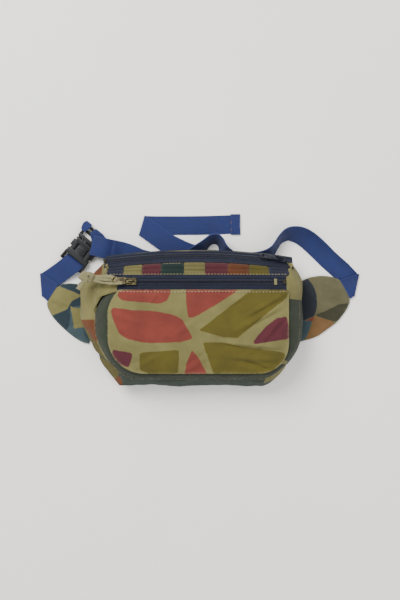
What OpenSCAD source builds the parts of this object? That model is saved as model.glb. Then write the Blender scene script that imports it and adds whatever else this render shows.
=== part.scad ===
// Waist pack: a main compartment, a front pocket, two hip wings and a webbing belt with a
// side-release buckle. Millimetres. The pack lies on its back: X runs across it, +Y points to
// its top edge and +Z out of its front. The origin is on the back panel's outer face.

/* [Pack] */
// Width of the main compartment across its bulge
pack_w = 273; // [260:1:285]
// Height of the main compartment across its bulge
pack_h = 164; // [156:1:172]
// Depth of the stuffed pack, from the back panel to the front panel's seam
pack_d = 60; // [56:1:66]
// How far the soft front leans to the right
lean = 7; // [0:1:9]
// Thickness of the canvas panels
cloth_t = 1.2; // [0.8:0.1:1.6]
// Thickness of the foam in the back panel
foam_t = 3; // [2:0.5:4]

/* [Zips] */
// Radius of the arc that the main zip follows over the top of the pack
arc_r = 600; // [500:10:900]
// Visible width of a zip, both tapes together
zip_w = 19; // [16:1:22]
// Slit between the two rows of teeth
zip_slit = 1.2; // [1:0.1:1.6]

/* [Belt] */
// Width of the webbing
strap_w = 25; // [24:0.5:26]
// Thickness of the webbing
strap_t = 1.3; // [1:0.1:1.5]

/* [Buckle] */
// Width of the buckle
buckle_w = 33; // [32:0.5:34]
// Thickness of the buckle
buckle_t = 9; // [9:0.5:10]
// Angle of the buckle on the surface, from +X
buckle_angle = 50; // [45:1:55]

/* [Hidden] */

half_w = pack_w / 2;
half_h = pack_h / 2;
// Heights of the widest bulge, the main front seam and the front panel's seam
bulge_z = 0.4 * pack_d;
seam_z = 0.767 * pack_d;
front_z = pack_d;
// How far the front pocket's band stands in from the main front seam
seam_gap = 1.6;
// Steps in each rounded corner of an outline
corner_n = 6;

// The two zips: the middle of the teeth, and how far the tape leans back
main_zip_c = [0.7 * lean, half_h - 6.5, 0.635 * pack_d];
main_zip_lean = 46;
front_zip_c = [0, 43.2, 0.93 * pack_d];
front_zip_lean = 21;
// Where the sliders stand with both zips closed
main_slider_at = 9.8;
front_slider_x = -71;
slider_l = 12;
slider_w = 9;
pin_z = 5.4;
pull_l = 26;

// Webbing layers: underside of the lower one, top of the upper one
low_z = 0.1;
high_z = 3.4;

buckle_c = [-134.6, 86.4, 0.4];

khaki = [0.56, 0.54, 0.37];
gusset_grey = [0.29, 0.32, 0.28];
navy = [0.16, 0.18, 0.27];
maroon = [0.45, 0.2, 0.25];
bottle_green = [0.15, 0.24, 0.2];
mustard = [0.52, 0.46, 0.16];
rust = [0.6, 0.35, 0.18];
brick = [0.62, 0.28, 0.26];
teal = [0.26, 0.35, 0.37];
olive = [0.38, 0.37, 0.24];
webbing_blue = [0.18, 0.26, 0.55];
brass = [0.5, 0.43, 0.26];
plastic = [0.13, 0.17, 0.17];
foam_white = [0.85, 0.85, 0.82];

// ---- Geometry helpers ----

function unit(v) = v / norm(v);
function in_plan(r, a) = [r * cos(a), r * sin(a), 0];

// A quarter turn with radii r[0] and r[1]; r[2] is 2 for round and nears 1 for a straight cut
function arc(c, r, a0) = [for (k = [0:corner_n])
  let (a = a0 + 90 * k / corner_n, q = 2 / r[2])
  [c[0] + r[0] * sign(cos(a)) * pow(abs(cos(a)), q),
   c[1] + r[1] * sign(sin(a)) * pow(abs(sin(a)), q)]];
function round_corner(r) = [r, r, 2];

// A rounded outline at one height, from the top left corner round by the bottom to the top right
function outline(x0, x1, y0, y1, radii, z) = [for (p = concat(
    arc([x0 + radii[0][0], y1 - radii[0][1]], radii[0], 90),
    arc([x0 + radii[1][0], y0 + radii[1][1]], radii[1], 180),
    arc([x1 - radii[2][0], y0 + radii[2][1]], radii[2], 270),
    arc([x1 - radii[3][0], y1 - radii[3][1]], radii[3], 0))) [p[0], p[1], z]];

back_seam = outline(-0.908 * half_w, 0.908 * half_w, -0.878 * half_h, 0.66 * half_h,
  [[36, 36, 1.15], [40, 75, 1.2], [42, 60, 1.4], round_corner(26)], 0);
bulge = outline(-half_w, half_w, -half_h, half_h,
  [[46, 44, 1.1], [48, 85, 1.15], [50, 65, 1.45], [38, 38, 1.9]], bulge_z);
seam_low_left = [48, 60, 1.6];
seam_low_right = [46, 52, 1.6];
front_seam = outline(lean - 0.905 * half_w, lean + 0.905 * half_w, -0.89 * half_h,
  0.83 * half_h, [[34, 34, 1.3], seam_low_left, seam_low_right, round_corner(36)], seam_z);
pocket_seam = outline(lean - 0.905 * half_w + seam_gap, lean + 0.905 * half_w - seam_gap,
  -0.89 * half_h + seam_gap, 38,
  [round_corner(16), seam_low_left, seam_low_right, round_corner(8)], seam_z + 0.3);
divider_edge = outline(lean - 0.905 * half_w, lean + 0.905 * half_w, -0.89 * half_h, 50,
  [round_corner(30), seam_low_left, seam_low_right, round_corner(36)], seam_z);
panel_seam = outline(lean - 0.77 * half_w, lean + 0.785 * half_w, -0.775 * half_h, 34,
  [for (r = [16, 42, 34, 5]) round_corner(r)], front_z);

function slice(list, a, b) = [for (i = [a:b]) list[i]];
// The same with both ends drawn in a little, so that the part clears its neighbours
function slice_in(list, a, b) = concat([list[a] * 0.94 + list[a + 1] * 0.06],
  slice(list, a + 1, b - 1), [list[b] * 0.94 + list[b - 1] * 0.06]);
// The outline one thickness further in, for a part that stands inside another
function shrunk(list, c, k) = [for (p = list)
  [c[0] + (p[0] - c[0]) * k, c[1] + (p[1] - c[1]) * k, p[2]]];

// A closed solid of thickness t behind a grid of points. Its outer side is the one that
// rows x columns, by the right-hand rule, points to; flip turns it over.
module sheet(grid, t, flip = false) {
  rows = flip ? [for (r = grid) [for (j = [len(r) - 1:-1:0]) r[j]]] : grid;
  n = len(rows);
  m = len(rows[0]);
  function along(i, j) = rows[min(i + 1, n - 1)][j] - rows[max(i - 1, 0)][j];
  function across(i, j) = rows[i][min(j + 1, m - 1)] - rows[i][max(j - 1, 0)];
  function out(i, j) = i * m + j;
  function inn(i, j) = n * m + out(i, j);
  points = concat(
    [for (i = [0:n - 1]) for (j = [0:m - 1]) rows[i][j]],
    [for (i = [0:n - 1]) for (j = [0:m - 1])
      rows[i][j] - t * unit(cross(along(i, j), across(i, j)))]);
  skin = [for (i = [0:n - 2]) for (j = [0:m - 2]) each [
    [out(i, j), out(i, j + 1), out(i + 1, j + 1)],
    [out(i, j), out(i + 1, j + 1), out(i + 1, j)],
    [inn(i, j), inn(i + 1, j + 1), inn(i, j + 1)],
    [inn(i, j), inn(i + 1, j), inn(i + 1, j + 1)]]];
  ends = [for (j = [0:m - 2]) each [
    [out(0, j + 1), out(0, j), inn(0, j)],
    [out(0, j + 1), inn(0, j), inn(0, j + 1)],
    [out(n - 1, j), out(n - 1, j + 1), inn(n - 1, j + 1)],
    [out(n - 1, j), inn(n - 1, j + 1), inn(n - 1, j)]]];
  sides = [for (i = [0:n - 2]) each [
    [out(i, 0), out(i + 1, 0), inn(i + 1, 0)],
    [out(i, 0), inn(i + 1, 0), inn(i, 0)],
    [out(i + 1, m - 1), out(i, m - 1), inn(i, m - 1)],
    [out(i + 1, m - 1), inn(i, m - 1), inn(i + 1, m - 1)]]];
  polyhedron(points = points, faces = concat(skin, ends, sides), convexity = 6);
}

// ---- Webbing ----

// One cross-row of webbing: its left and right edge. dir is where the left edge lies from the
// middle, tilt how far that edge is raised.
function strap_row(p, dir, tilt = 0, half = strap_w / 2) =
  let (w = half * [cos(dir) * cos(tilt), sin(dir) * cos(tilt), sin(tilt)]) [p + w, p - w];
// Rows along a route of [x, y, z, tilt]
function route_rows(route) = [for (i = [0:len(route) - 1])
  let (a = route[max(i - 1, 0)], b = route[min(i + 1, len(route) - 1)], p = route[i])
  strap_row([p[0], p[1], p[2]], atan2(b[1] - a[1], b[0] - a[0]) + 90, p[3])];
// The turn of a flat fold: webbing that arrives in direction travel goes over a crease
function fold_rows(c, travel, crease, outward) =
  let (r = (high_z - low_z) / 2, half = strap_w / 2 / abs(sin(crease - travel)))
  [for (a = [0:30:180])
    strap_row([c[0], c[1], low_z + r * (1 - cos(a))] + in_plan(r * sin(a), outward), crease,
      0, half)];

// Routes: points that lie on the surface, chosen by hand
left_run_route = [[-148, 68, 7.4, 0], [-154, 63.8, 7, 0], [-163, 57.5, 3, 0],
  [-172, 51.5, 0.4, 0]];
left_fold = fold_rows([-187, 41.3], 216, -85.6, 184.4);
left_tip_end = strap_row([-173.2, 31.5, high_z], -122);

belt_route = [[-28, 69.5, 0.1, 0], [-16, 69.5, 0.1, 0], [-5, 69.5, 0.1, 0],
  [8, 71, 1, 8], [16, 78, 4.5, 22], [21, 88, 9, 44], [27, 95.5, 10.8, 56],
  [32, 96.5, 11, 57], [36.5, 91, 10.8, 58], [39, 83, 9, 48], [42.5, 75.5, 4.8, 24],
  [48.5, 70.6, 1, 5], [58, 69.5, 0.1, 0], [72, 69.5, 0.1, 0], [83, 71, 3, 14], [92, 76.5, 9, 44],
  [99, 84, 12, 66], [104, 91, 12.4, 71], [109, 98, 12, 68], [119, 104.5, 10.4, 54],
  [131, 103.8, 8.2, 38], [142, 98.5, 5.6, 24], [155.5, 87.5, 2.6, 10],
  [170.6, 73, 0.4, 0], [187.5, 58, 0.1, 0]];
right_fold = fold_rows([204.2, 41], -41.7, 78.1, -11.9);
right_tip_end = strap_row([190.8, 35.6, high_z], 118.5, 0, 13.5);

belt_left_route = [[-124, 90.5, 13, 0], [-116, 88.5, 12.9, 0], [-107, 86.3, 12.2, 0],
  [-97, 84.4, 7.2, 0], [-87, 82.4, 3.6, 0], [-76, 78.6, 3.4, 0], [-64, 73.4, 3.4, 0],
  [-52, 70.6, 3.4, 0], [-42, 69.8, 3.4, 0]];

tail_end_route = [[60, 116.8, 0.1, 0], [50, 116.4, 0.1, 0], [20, 115.4, 0.1, 0],
  [-10, 115, 0.1, 0], [-44, 115, 0.1, 0]];
tail_fold = fold_rows([-61.3, 115], 180, 253.3, 163.3);
tail_back_route = [[-46, 104, 3.4, 0], [-30.8, 93.4, 3.4, 0], [-16, 85.8, 3.4, 0],
  [-7, 81.8, 3.4, 0]];

module left_strap_run() {
  color(webbing_blue)
    sheet(concat(route_rows(left_run_route),
      [strap_row([-186.6, 41.6, low_z], -85.6, 0, 14.6)]), strap_t);
}

module left_strap_tip() {
  color(webbing_blue) sheet(concat(left_fold, [left_tip_end]), strap_t);
}

module belt_run() {
  color(webbing_blue)
    sheet(concat(route_rows(belt_route), [strap_row([203.8, 41.3, low_z], 78.1, 0, 14.4)]),
      strap_t);
}

module belt_right_tip() {
  color(webbing_blue) sheet(concat(right_fold, [right_tip_end]), strap_t);
}

module belt_left() {
  color(webbing_blue)
    sheet(route_rows([for (p = belt_left_route) p - [0, 0, strap_t + 0.2, 0]]), strap_t, true);
}

module tail_left() {
  color(webbing_blue) sheet(route_rows(belt_left_route), strap_t, true);
}

module tail_strap() {
  back = [for (r = route_rows(tail_back_route)) [r[1], r[0]]];
  color(webbing_blue) sheet(concat(route_rows(tail_end_route), tail_fold, back), strap_t);
}

// ---- Main compartment ----

module plate(points, z0, t) {
  translate([0, 0, z0]) linear_extrude(t) polygon([for (p = points) [p[0], p[1]]]);
}

module back_panel() {
  color(khaki) plate(shrunk(back_seam, [0, -9], 0.973), 0, cloth_t);
}

module back_foam() {
  color(foam_white) plate(shrunk(back_seam, [0, -9], 0.95), cloth_t, foam_t);
}

// A gusset panel from the back seam over the bulge to the front seam, points a to b of each.
// start replaces the first points of its front seam.
module gusset(a, b, tint, start = []) {
  low = slice_in(back_seam, a, b);
  wide = slice_in(bulge, a, b);
  high = concat(start, slice(slice_in(front_seam, a, b), len(start), b - a));
  mid_low = low * 0.35 + wide * 0.65 - [for (p = low) [0, 0, 0.2 * bulge_z]];
  mid_high = wide * 0.7 + high * 0.3 + [for (p = low) [0, 0, 0.1 * bulge_z]];
  color(tint) sheet([low, mid_low, wide, mid_high, high], cloth_t, true);
}

module left_side_panel() {
  difference() {
    gusset(2, 10, khaki, [[-104, 57.5, 42.5], [-103.7, 54, 46]]);
    zip_room();
  }
}
module bottom_panel() { gusset(10, 17, gusset_grey); }
module right_side_panel() {
  difference() {
    gusset(17, 25, khaki);
    zip_room();
  }
}

// Point of the main zip's surface: angle along its arc, distance s across it, height h above it
function main_zip_point(angle, s, h = 0) =
  let (r = arc_r + h, up = [0, sin(main_zip_lean), cos(main_zip_lean)],
    back = [0, cos(main_zip_lean), -sin(main_zip_lean)])
  main_zip_c + [r * sin(angle), 0, 0] + up * (r * cos(angle) - arc_r) + back * s;

main_zip_angles = [for (k = [0:12]) -10.6 + 21.9 * k / 12];

// The room that the main zip takes up, which the side panels are cut back from
module zip_room() {
  angles = [for (k = [0:12]) -10.8 + 22.3 * k / 12];
  sheet([[for (a = angles) main_zip_point(a, -zip_w / 2 - 2.5, 3.4)],
    [for (a = angles) main_zip_point(a, zip_w / 2 + 2.5, 3.4)]], 5.4, true);
}

module top_back_panel() {
  edge = [for (k = [0:12]) main_zip_point(-10.6 + 21.1 * k / 12, zip_w / 2 + 3.2)];
  foot = [for (p = edge) [p[0] * 0.9, 0.66 * half_h, cloth_t + 0.2]];
  waist = [for (i = [0:12]) foot[i] * 0.5 + edge[i] * 0.5 + [0, 1, 1]];
  color(khaki) sheet([foot, waist, edge], cloth_t);
}

module pocket_divider() {
  color(gusset_grey)
    plate(shrunk(divider_edge, [lean, -10], 0.975), seam_z - 2 * cloth_t - 0.3, cloth_t);
}

// ---- Zips ----

// One tape of the main zip, from s0 to s1 across it
module main_tape(s0, s1) {
  color(navy)
    sheet([[for (a = main_zip_angles) main_zip_point(a, s0, 0.4)],
      [for (a = main_zip_angles) main_zip_point(a, s1, 0.4)]], 0.8, true);
}

module main_zip_tape_back() { main_tape(zip_slit / 2, zip_w / 2 + 1.5); }
module main_zip_tape_front() { main_tape(-zip_w / 2 - 1.5, -zip_slit / 2); }

module main_zip_teeth() {
  color(navy)
    for (side = [-1, 1])
      let (near = side * zip_slit / 2, far = side * (zip_slit / 2 + 2.2))
        sheet([[for (a = main_zip_angles) main_zip_point(a, min(near, far), 1.9)],
          [for (a = main_zip_angles) main_zip_point(a, max(near, far), 1.9)]], 1.3, true);
}

module on_front_zip() {
  translate(front_zip_c) rotate([-front_zip_lean, 0, 0]) children();
}

module on_main_zip(angle) {
  translate(main_zip_c) rotate([-main_zip_lean, 0, 0]) translate([0, 0, -arc_r])
    rotate([0, angle, 0]) translate([0, 0, arc_r]) children();
}

front_zip_x0 = -88;
front_zip_x1 = 112;

// A straight run of zip tape or teeth, from s0 to s1 across it
module front_bar(s0, s1, z0, t) {
  on_front_zip() translate([front_zip_x0, s0, z0])
    cube([front_zip_x1 - front_zip_x0, s1 - s0, t]);
}

module front_zip_tape_upper() { color(navy) front_bar(zip_slit / 2, zip_w / 2, -0.4, 0.8); }
module front_zip_tape_lower() { color(navy) front_bar(-zip_w / 2, -zip_slit / 2, -0.4, 0.8); }

module front_zip_teeth() {
  color(navy) {
    front_bar(zip_slit / 2, zip_slit / 2 + 2.2, 0.6, 1.3);
    front_bar(-zip_slit / 2 - 2.2, -zip_slit / 2, 0.6, 1.3);
  }
}

// Metal stops at the far end of each row of teeth
module zip_stops() {
  color(brass) {
    on_front_zip() translate([front_zip_x1 - 4, -3, 2]) cube([3, 6, 1]);
    on_main_zip(-main_slider_at - 0.75) translate([-1.5, -3, 2.1]) cube([3, 6, 1]);
  }
}

// Stitched bar across the front zip's far end
module zip_bartack() {
  color(khaki) on_front_zip() translate([front_zip_x1 - 14, -4, 2]) cube([2.4, 8, 0.8]);
}

// A slider about the teeth at the origin, with a bridge that holds the pull's pin
module slider() {
  translate([-slider_l / 2, -slider_w / 2, 2.4]) cube([slider_l, slider_w, 1.6]);
  translate([-slider_l / 2, -slider_w / 2, -2.4]) cube([slider_l, slider_w, 1.4]);
  translate([-2, -0.3, -1]) cube([4, 0.6, 3.4]);
  for (x = [-3.4, 2.2]) translate([x, -1, 4]) cube([1.2, 2, 2.6]);
  translate([-3.4, -1, 6.4]) cube([6.8, 2, 1]);
}

// A pull that lies towards -X from its pin
module pull() {
  translate([0, 0, pin_z]) {
    rotate([90, 0, 0]) cylinder(r = 0.6, h = 6.8, center = true, $fn = 32);
    for (y = [-3.4, 2]) translate([-7, y, -0.6]) cube([7, 1.4, 1.2]);
    translate([-7, 0, -0.6]) rotate([0, 0, 180]) difference() {
      translate([0, -4.4, 0]) cube([pull_l - 7, 8.8, 1.2]);
      translate([pull_l - 12, -2.4, -1]) cube([2.6, 4.8, 4]);
    }
  }
}

module main_slider() { color(navy) on_main_zip(main_slider_at) slider(); }
module main_pull() { color(navy) on_main_zip(main_slider_at) pull(); }
module front_slider() {
  color(brass) on_front_zip() translate([front_slider_x, 0, 0]) slider();
}
module front_pull() {
  color(brass) on_front_zip() translate([front_slider_x, 0, 0]) pull();
}

// Strip of khaki cloth through the pull's slot, tied in a knot past the pull's end
module pull_strip() {
  color(khaki) on_front_zip() translate([front_slider_x, 0, pin_z]) {
    hull() {
      translate([-pull_l - 3, 0, 1]) sphere(r = 2.6, $fn = 20);
      translate([-43, 2.4, 0.5]) sphere(r = 3.6, $fn = 20);
    }
    hull() {
      translate([-48, 3, 0.8]) sphere(r = 6, $fn = 24);
      translate([-55.5, 4.6, -0.6]) sphere(r = 5.8, $fn = 24);
    }
    hull() {
      translate([-58, -3, -3]) sphere(r = 3.2, $fn = 20);
      translate([-62.5, -11, -7]) sphere(r = 2.6, $fn = 20);
    }
  }
}

// ---- Patchwork strip between the zips ----

// Sides of the patches across the strip
patch_x = [-101, -81, -59, -36.5, -9, 16, 43.5, 68.5, 92, 116];

// Height and place of the strip's back edge, under the main zip's front edge
function strip_back(x) = main_zip_point(asin((x - main_zip_c[0]) / arc_r), -zip_w / 2 - 2);
function strip_front(x) = [x, front_zip_c[1] + cos(front_zip_lean) * (zip_w / 2 + 0.4),
  front_zip_c[2] - sin(front_zip_lean) * (zip_w / 2 + 0.4)];

module patch(i, tint) {
  xs = [for (k = [0:2]) patch_x[i] + 0.1 + (patch_x[i + 1] - patch_x[i] - 0.2) * k / 2];
  color(tint)
    sheet([[for (x = xs) strip_front(x)],
      [for (x = xs) (strip_front(x) + strip_back(x)) / 2 + [0, 0.8, 1.4]],
      [for (x = xs) strip_back(x)]], cloth_t, true);
}

module patch_navy_left() { patch(0, navy); }
module patch_khaki_left() { patch(1, khaki); }
module patch_maroon_left() { patch(2, maroon); }
module patch_green() { patch(3, bottle_green); }
module patch_khaki_middle() { patch(4, khaki); }
module patch_maroon_right() { patch(5, maroon); }
module patch_orange() { patch(6, rust); }
module patch_mustard() { patch(7, mustard); }
module patch_navy_right() { patch(8, navy); }

// ---- Front pocket ----

// The band between the main front seam and the front panel, points a to b of each
module band(a, b, tint) {
  low = slice_in(pocket_seam, a, b);
  high = slice_in(panel_seam, a, b);
  color(tint)
    sheet([low, (low + high) / 2 + [for (p = low) [0, 0, 2]], high], cloth_t, true);
}

module pocket_band_left() { band(2, 10, gusset_grey); }
module pocket_band_bottom() { band(10, 17, gusset_grey); }
module pocket_band_right() { band(17, 26, khaki); }

// Front panel, crowned towards its middle
module front_panel() {
  middle = [lean, -14];
  color(khaki) difference() {
    hull() {
      plate(shrunk(panel_seam, middle, 0.995), front_z, 0.8);
      plate(shrunk(panel_seam, middle, 0.8), front_z + 5, 0.8);
      plate(shrunk(panel_seam, middle, 0.5), front_z + 7.2, 0.8);
    }
    hull() {
      plate(shrunk(panel_seam, middle, 0.97), front_z - 1, 0.8);
      plate(shrunk(panel_seam, middle, 0.78), front_z + 3.8, 0.8);
      plate(shrunk(panel_seam, middle, 0.48), front_z + 6, 0.8);
    }
  }
}

// ---- Wings ----

wing_root_x = 0.927 * half_w;
foam_root_x = wing_root_x + 13;
left_wing_edge = [[-151.5, -25], [-168, -7], [-175.5, 3], [-180.5, 16.5], [-165, 41],
  [-152.5, 43.5], [-144, 42.5]];
right_wing_edge = [[155, -24], [169, -14], [181, -5], [192, 9], [197.5, 21], [180.5, 43.5],
  [171.5, 49], [160, 51.5], [145, 50.5]];

// One layer of a wing from its free edge to a root line; side is -1 left, 1 right
module wing_layer(edge, side, root, z0, t) {
  translate([0, 0, z0]) linear_extrude(t)
    polygon(concat(edge, [[side * root, 41], [side * root, -32]]));
}

module left_wing(root, z0, t) { wing_layer(left_wing_edge, -1, root, z0, t); }
module right_wing(root, z0, t) { wing_layer(right_wing_edge, 1, root, z0, t); }

module left_wing_back() { color(olive) left_wing(wing_root_x, 0, 1); }
module left_wing_foam() { color(foam_white) left_wing(foam_root_x, 1, 4); }
module left_wing_face() { color(teal) left_wing(foam_root_x, 5, 1); }
module right_wing_back() { color(olive) right_wing(wing_root_x, 0, 1); }
module right_wing_foam() { color(foam_white) right_wing(foam_root_x, 1, 4); }
module right_wing_face() { color(olive) right_wing(foam_root_x, 5, 1); }

// ---- Buckle ----

module on_buckle() {
  translate(buckle_c) rotate([0, 0, buckle_angle]) children();
}

half_buckle = buckle_w / 2;
lip = 1.7;
arm = 3;

// A round bar across the buckle
module cross_bar(x, r, z) {
  translate([x, 0, z]) rotate([90, 0, 0])
    cylinder(r = r, h = 2 * half_buckle - arm, center = true, $fn = 32);
}

module buckle_female() {
  color(plastic) on_buckle() {
    for (z = [0, buckle_t - lip]) translate([-14, -half_buckle + 1, z])
      cube([21, buckle_w - 2, lip]);
    translate([-16.5, -half_buckle + 0.5, 0]) cube([2.6, buckle_w - 1, buckle_t]);
    for (y = [-half_buckle, half_buckle - arm]) translate([-26, y, 1.5])
      cube([9.6, arm, buckle_t - 3]);
    cross_bar(-24.4, 1.9, buckle_t / 2);
  }
}

module buckle_male() {
  color(plastic) on_buckle() {
    translate([8.4, -half_buckle + 0.5, 0.4]) cube([4.4, buckle_w - 1, buckle_t - 0.4]);
    translate([-12, -3.5, lip + 0.6]) cube([20.5, 7, buckle_t - 2 * lip - 1.2]);
    for (y = [-half_buckle, half_buckle - arm]) translate([12.6, y, 1])
      cube([14.4, arm, buckle_t - 2.6]);
    cross_bar(18.6, 1.6, buckle_t / 2 - 0.8);
    cross_bar(25.2, 1.8, buckle_t / 2 - 0.8);
  }
}

// A sprung side arm; it stands out through the female's open side
module prong(side) {
  color(plastic) on_buckle() scale([1, side, 1]) {
    translate([-10, 10.4, lip + 0.4]) cube([17.8, 4, buckle_t - 2 * lip - 0.8]);
    translate([-6, 14, lip + 0.4]) cube([9, 3, buckle_t - 2 * lip - 0.8]);
  }
}

module prong_upper() { prong(1); }
module prong_lower() { prong(-1); }

back_panel();
back_foam();
left_side_panel();
bottom_panel();
right_side_panel();
top_back_panel();
pocket_divider();
front_panel();
pocket_band_left();
pocket_band_bottom();
pocket_band_right();
main_zip_tape_back();
main_zip_tape_front();
main_zip_teeth();
front_zip_tape_upper();
front_zip_tape_lower();
front_zip_teeth();
zip_stops();
zip_bartack();
patch_navy_left();
patch_khaki_left();
patch_maroon_left();
patch_green();
patch_khaki_middle();
patch_maroon_right();
patch_orange();
patch_mustard();
patch_navy_right();
main_slider();
main_pull();
front_slider();
front_pull();
pull_strip();
left_wing_face();
left_wing_foam();
left_wing_back();
right_wing_face();
right_wing_foam();
right_wing_back();
left_strap_tip();
left_strap_run();
belt_right_tip();
belt_run();
belt_left();
tail_left();
tail_strap();
buckle_female();
buckle_male();
prong_upper();
prong_lower();
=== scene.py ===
"""Looks of a waist pack: printed canvas panels, two zips, two hip wings and a webbing belt."""

import math

import bmesh
import bpy
import numpy as np
from mathutils import Matrix, Vector, noise
from mathutils.bvhtree import BVHTree


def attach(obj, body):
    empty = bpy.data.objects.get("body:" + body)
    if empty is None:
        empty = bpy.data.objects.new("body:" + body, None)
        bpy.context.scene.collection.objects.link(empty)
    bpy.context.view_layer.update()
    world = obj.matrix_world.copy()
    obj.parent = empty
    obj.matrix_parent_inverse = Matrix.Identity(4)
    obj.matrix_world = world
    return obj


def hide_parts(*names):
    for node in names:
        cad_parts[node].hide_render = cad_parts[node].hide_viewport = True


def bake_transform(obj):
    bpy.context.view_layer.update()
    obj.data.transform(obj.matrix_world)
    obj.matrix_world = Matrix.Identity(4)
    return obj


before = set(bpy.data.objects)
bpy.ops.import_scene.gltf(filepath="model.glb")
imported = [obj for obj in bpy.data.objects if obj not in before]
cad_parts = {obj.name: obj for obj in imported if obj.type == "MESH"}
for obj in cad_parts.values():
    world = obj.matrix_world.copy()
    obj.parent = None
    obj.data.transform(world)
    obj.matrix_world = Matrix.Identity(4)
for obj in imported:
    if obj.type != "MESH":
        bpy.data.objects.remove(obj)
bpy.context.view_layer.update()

# Shapes are worked out in millimetres, in the frame's axes
MM = 0.001
CLOTH_T = 1.2
# Two yarns of the canvas, side by side
YARN_PAIR = 1.24

# ---- Colours, as linear values ----


def srgb(r, g, b):
    """A display colour from 0 to 255 as linear RGBA."""
    return tuple(((c / 255 + 0.055) / 1.055) ** 2.4 for c in (r, g, b)) + (1.0,)


def dimmed(colour):
    """A colour in the shade of the folds between the zips."""
    return tuple(c * 0.72 for c in colour[:3]) + (1.0,)


KHAKI = srgb(112, 106, 64)
PALE_KHAKI = srgb(124, 118, 84)
BARE_COTTON = srgb(132, 126, 98)
BRICK = srgb(114, 52, 43)
MUSTARD = srgb(84, 76, 28)
MAROON = srgb(82, 37, 44)
RUST = srgb(96, 54, 28)
GREY_GREEN = srgb(48, 53, 42)
DARK_GREEN = srgb(48, 58, 49)
NAVY = srgb(28, 31, 46)
BOTTLE = srgb(24, 38, 34)
SLATE = srgb(38, 42, 48)
TEAL = srgb(58, 74, 78)
DARK_TEAL = srgb(38, 50, 56)
SAND = srgb(112, 84, 52)
OLIVE = srgb(92, 88, 64)
DEEP_OLIVE = srgb(58, 57, 41)
WEBBING = srgb(32, 43, 90)
FUZZ = srgb(76, 88, 132)
LINT = srgb(96, 98, 106)
CREAM = srgb(176, 166, 134)
BROWN_THREAD = srgb(110, 90, 70)
PLASTIC = srgb(11, 13, 15)
SCUFF = srgb(50, 54, 54)
BRASS = srgb(92, 83, 56)
TARNISH = srgb(44, 40, 29)
FOAM = srgb(222, 218, 204)
FLOOR = srgb(250, 247, 241)

# ---- Camera and light ----

CAMERA_AT = (0.010, 0.0225, 1.0417)


def make_camera():
    data = bpy.data.cameras.new("camera")
    data.lens = 50
    data.sensor_width = 36
    camera = bpy.data.objects.new("camera", data)
    camera.location = CAMERA_AT
    bpy.context.scene.collection.objects.link(camera)
    bpy.context.scene.camera = camera


def area_light(name, at, power, size):
    data = bpy.data.lights.new(name, "AREA")
    data.energy = power
    data.size = size
    light = bpy.data.objects.new(name, data)
    light.location = at
    light.rotation_euler = (-Vector(at)).to_track_quat("-Z", "Y").to_euler()
    bpy.context.scene.collection.objects.link(light)


def make_lights():
    area_light("key", (-0.7, 0.9, 1.5), 44, 0.9)
    area_light("fill", (1.0, -0.6, 1.3), 12, 1.4)
    world = bpy.data.worlds.new("studio")
    world.use_nodes = True
    sky = world.node_tree.nodes["Background"]
    sky.inputs["Color"].default_value = (0.95, 0.97, 1.0, 1)
    sky.inputs["Strength"].default_value = 0.85
    bpy.context.scene.world = world


# ---- Shaders ----


class Shader:
    """A material under construction. An input is a number, a colour or another node's output.
    Its noise is fixed to the cloth at rest or, if plain, to the object's own axes."""

    def __init__(self, name, plain=False, **fixed):
        self.material = bpy.data.materials.new(name)
        self.material.use_nodes = True
        self.tree = self.material.node_tree
        self.surface = self.tree.nodes["Principled BSDF"]
        for socket, value in fixed.items():
            self.surface.inputs[socket.replace("_", " ")].default_value = value
        if plain:
            self.where = self.add("ShaderNodeTexCoord", {}).outputs["Object"]
        else:
            self.where = self.attribute("rest", "Vector")

    def add(self, kind, inputs, **settings):
        node = self.tree.nodes.new(kind)
        for key, value in settings.items():
            setattr(node, key, value)
        for key, value in inputs.items():
            if isinstance(value, bpy.types.NodeSocket):
                self.tree.links.new(value, node.inputs[key])
            else:
                node.inputs[key].default_value = value
        return node

    def math(self, operation, a, b=0.0):
        return self.add("ShaderNodeMath", {0: a, 1: b}, operation=operation).outputs[0]

    def wave(self, value, period):
        """A sine of value, from -1 to 1."""
        return self.math("SINE", self.math("MULTIPLY", value, 2 * math.pi / period))

    def mix(self, amount, a, b, how="MIX"):
        inputs = {0: amount, 6: a, 7: b}
        return self.add("ShaderNodeMix", inputs, data_type="RGBA", blend_type=how).outputs[2]

    def remap(self, value, low, high, to_low=0.0, to_high=1.0):
        inputs = {0: value, 1: low, 2: high, 3: to_low, 4: to_high}
        return self.add("ShaderNodeMapRange", inputs).outputs[0]

    def attribute(self, name, output="Fac"):
        return self.add("ShaderNodeAttribute", {}, attribute_name=name).outputs[output]

    def noise(self, scale, detail=2.0):
        inputs = {"Vector": self.where, "Scale": scale, "Detail": detail}
        return self.add("ShaderNodeTexNoise", inputs).outputs["Fac"]

    def vary(self, value, to_low, to_high):
        """A noise spread between two numbers."""
        return self.remap(value, 0.3, 0.7, to_low, to_high)

    def shade(self, colour, value, dark, light, low=0.3, high=0.7):
        """The colour times dark where value is low, and times light where it is high."""
        grey = self.remap(value, low, high, dark, light)
        return self.mix(1.0, colour, grey, "MULTIPLY")

    def finish(self, colour, rough, height, relief):
        """Connects colour and roughness, and bumps the surface by height, relief metres high."""
        bump = self.add("ShaderNodeBump", {"Height": height, "Strength": 1.0, "Distance": relief})
        self.tree.links.new(colour, self.surface.inputs["Base Color"])
        self.tree.links.new(rough, self.surface.inputs["Roughness"])
        self.tree.links.new(bump.outputs["Normal"], self.surface.inputs["Normal"])
        return self.material


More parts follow.
